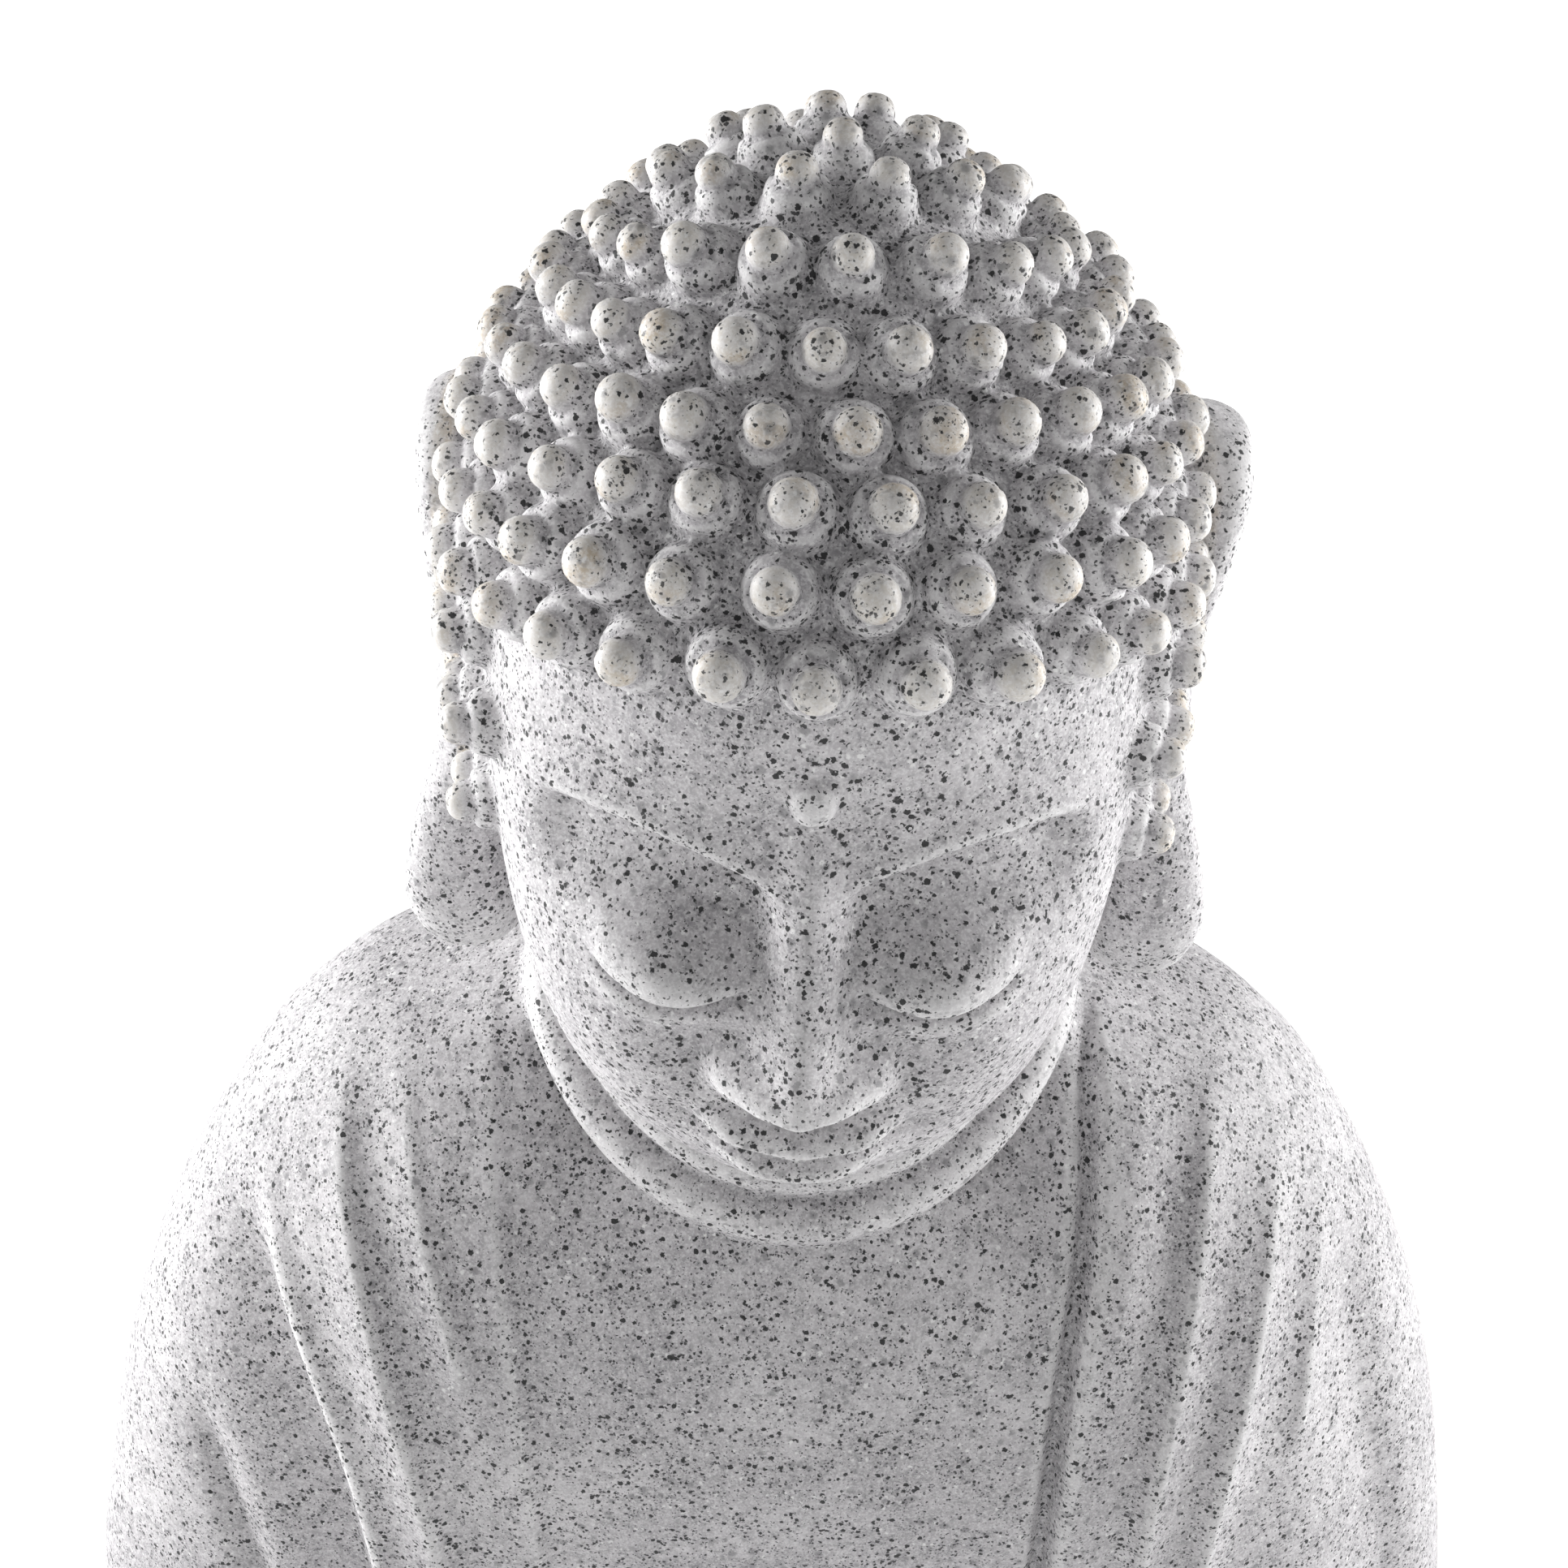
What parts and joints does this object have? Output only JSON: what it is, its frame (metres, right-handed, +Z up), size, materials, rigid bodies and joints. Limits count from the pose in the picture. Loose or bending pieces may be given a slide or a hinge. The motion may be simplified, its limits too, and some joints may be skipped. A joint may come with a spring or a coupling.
{
  "type": "statue bust",
  "caption": "Granite-look garden bust of a meditating figure with snail-shell curls, long ear lobes, neck folds and a pleated open robe, cut flat below.",
  "frame": {"origin": "middle of the flat underside", "axes": "+Z up, -Y towards the figure's front, +X to the right of someone who faces it"},
  "size_m": [0.2963, 0.1459, 0.3543],
  "materials": {
    "cast_granite": "granite-look cast stone, matt, pale grey with black and white grains"
  },
  "bodies": {
    "root": {"buddha_bust": "cast_granite"}
  },
  "joints": []
}
